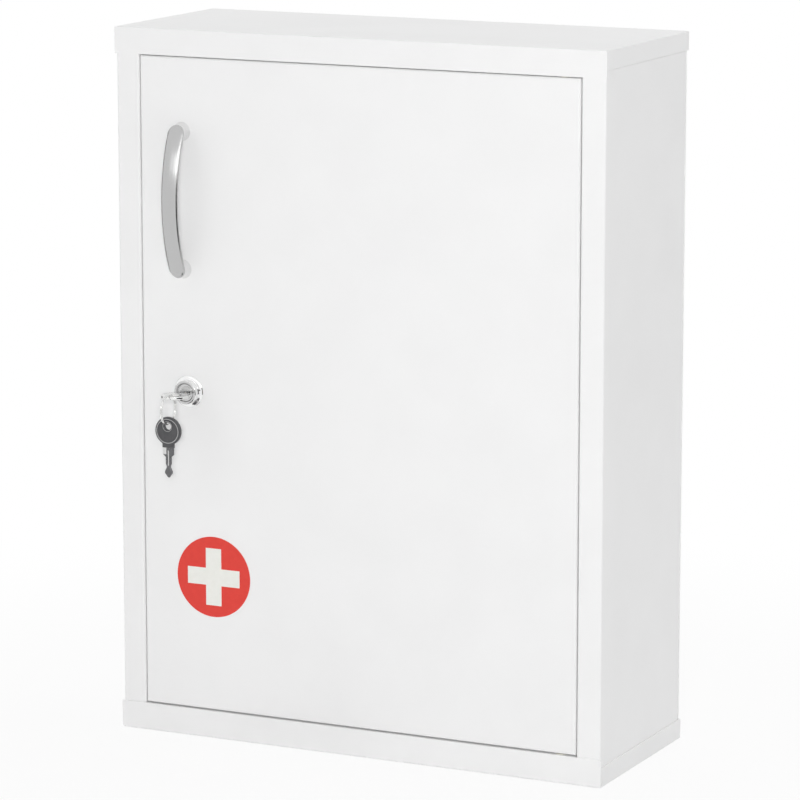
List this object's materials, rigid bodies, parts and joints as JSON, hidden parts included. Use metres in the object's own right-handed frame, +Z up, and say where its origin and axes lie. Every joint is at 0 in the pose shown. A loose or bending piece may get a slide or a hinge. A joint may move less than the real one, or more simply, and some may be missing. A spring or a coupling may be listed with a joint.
{
  "type": "lockable medicine cabinet",
  "caption": "White sheet-steel wall cabinet for medicines with one hinged door, a bow handle, a cam lock with keys and inner shelves.",
  "frame": {"origin": "centre of the cabinet's underside, on the plane it rests on", "axes": "+Z up, the door faces -Y, +X to the right of someone facing the door"},
  "size_m": [0.37, 0.1831, 0.5],
  "materials": {
    "powder_coat": "fine satin powder coat on folded sheet steel",
    "handle_chrome": "satin chrome on die-cast zinc",
    "lock_chrome": "polished chrome on die-cast zinc",
    "nickel": "nickel plate on steel",
    "key_steel": "milled steel key blade, unplated",
    "zinc_plate": "bright zinc plate",
    "brass_wafer": "stamped brass",
    "key_plastic": "moulded plastic",
    "nylon": "moulded nylon",
    "rubber": "soft moulded rubber",
    "vinyl_red": "printed vinyl film",
    "vinyl_white": "printed vinyl film"
  },
  "bodies": {
    "cabinet": {"top_cap": "powder_coat", "bottom_cap": "powder_coat", "left_side_panel": "powder_coat", "right_side_panel": "powder_coat", "back_panel": "powder_coat", "back_panel_rivets": "zinc_plate", "lower_shelf": "powder_coat", "upper_shelf": "powder_coat", "lower_shelf_brackets": "powder_coat", "upper_shelf_brackets": "powder_coat", "lower_hinge_bush": "nylon", "upper_hinge_bush": "nylon", "door_bumpers": "rubber"},
    "door": {"door_pan": "powder_coat", "door_stiffener": "powder_coat", "lower_hinge_bracket": "zinc_plate", "upper_hinge_bracket": "zinc_plate", "lower_hinge_pin": "zinc_plate", "upper_hinge_pin": "zinc_plate", "hinge_clips": "zinc_plate", "door_handle": "handle_chrome", "handle_screws": "zinc_plate", "handle_washers": "zinc_plate", "emblem_disc": "vinyl_red", "emblem_cross": "vinyl_white", "lock_housing": "lock_chrome", "lock_washer": "zinc_plate", "lock_nut": "zinc_plate"},
    "lock_core": {"lock_plug": "lock_chrome", "lock_wafers": "brass_wafer", "lock_cam": "zinc_plate", "cam_screw": "zinc_plate"},
    "key": {"inserted_key": "nickel"},
    "ring": {"key_ring": "nickel"},
    "spare_key": {"spare_key_blade": "key_steel", "spare_key_head": "key_plastic"}
  },
  "joints": [
    {"name": "door_hinge", "type": "hinge", "parent": "cabinet", "child": "door", "pos_m": [0.1537, -0.0655, 0.25], "axis": [0, 0, 1], "range_deg": [0, 120]},
    {"name": "lock_turn", "type": "hinge", "parent": "door", "child": "lock_core", "pos_m": [-0.1293, -0.0705, 0.2475], "axis": [0, 1, 0], "range_deg": [0, 90]},
    {"name": "key_pull", "type": "slide", "parent": "lock_core", "child": "key", "axis": [0, -1, 0], "range_m": [0, 0.022]},
    {"name": "ring_swing", "type": "hinge", "parent": "key", "child": "ring", "pos_m": [-0.1293, -0.1008, 0.2475], "axis": [0, 1, 0], "range_deg": [-20, 20]},
    {"name": "spare_key_swing", "type": "hinge", "parent": "ring", "child": "spare_key", "pos_m": [-0.1293, -0.1008, 0.22945], "axis": [0, 1, 0], "range_deg": [-30, 30]}
  ]
}
